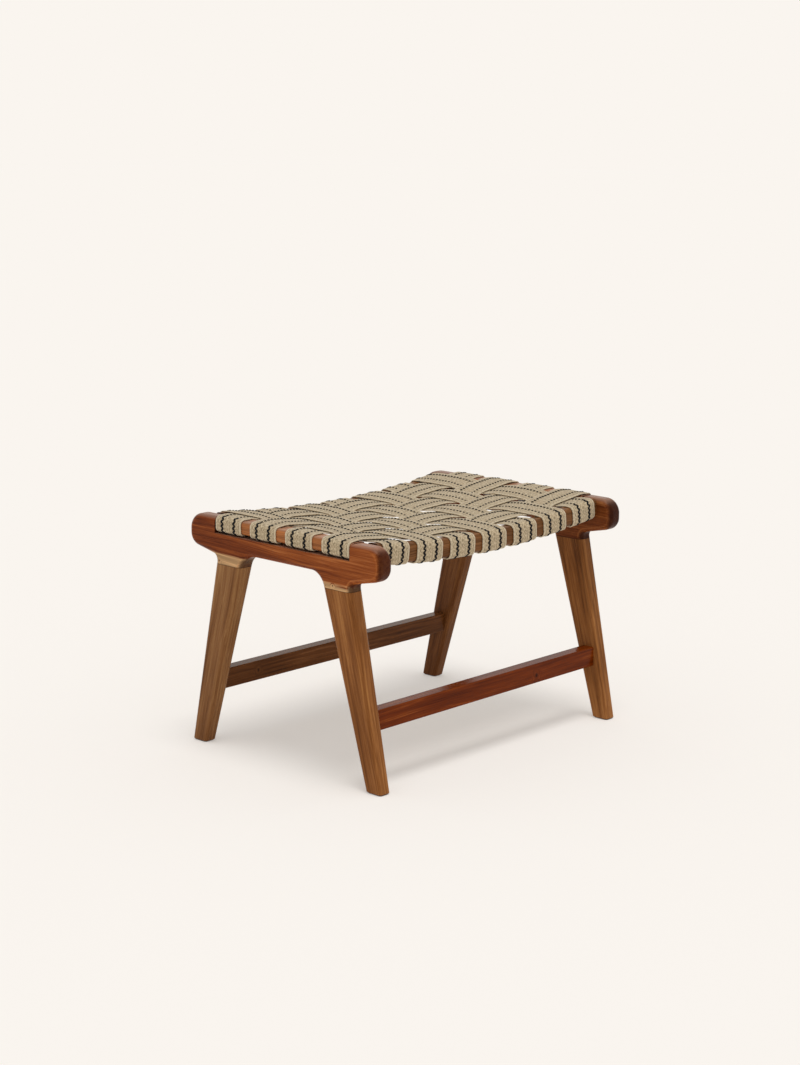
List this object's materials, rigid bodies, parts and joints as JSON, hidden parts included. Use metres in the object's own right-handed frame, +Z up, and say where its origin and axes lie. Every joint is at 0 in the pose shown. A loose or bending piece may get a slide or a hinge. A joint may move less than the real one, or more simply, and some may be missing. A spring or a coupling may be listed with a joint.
{
  "type": "footstool",
  "caption": "Wooden footstool with splayed tapered legs, rounded end rails, curved side rails and a seat of broad woven straps.",
  "frame": {"origin": "on the floor, below the middle of the seat", "axes": "+X along the seat, towards the right end rail; +Y to the back; +Z up"},
  "size_m": [0.61, 0.439, 0.3983],
  "materials": {
    "end_rail_wood": "satin",
    "leg_wood": "satin",
    "long_rail_wood": "satin",
    "stretcher_wood": "satin",
    "webbing": "coarse woven",
    "dowel_wood": "satin",
    "tack_steel": "plain"
  },
  "bodies": {
    "root": {"left_end_rail": "end_rail_wood", "right_end_rail": "end_rail_wood", "front_left_leg": "leg_wood", "front_right_leg": "leg_wood", "back_left_leg": "leg_wood", "back_right_leg": "leg_wood", "front_long_rail": "long_rail_wood", "back_long_rail": "long_rail_wood", "front_stretcher": "stretcher_wood", "back_stretcher": "stretcher_wood", "cross_strap_1": "webbing", "cross_strap_2": "webbing", "cross_strap_3": "webbing", "cross_strap_4": "webbing", "cross_strap_5": "webbing", "cross_strap_6": "webbing", "cross_strap_7": "webbing", "long_strap_1": "webbing", "long_strap_2": "webbing", "long_strap_3": "webbing", "long_strap_4": "webbing", "leg_dowels": "dowel_wood", "left_end_tacks": "tack_steel", "right_end_tacks": "tack_steel", "front_rail_tacks": "tack_steel", "back_rail_tacks": "tack_steel"}
  },
  "joints": []
}
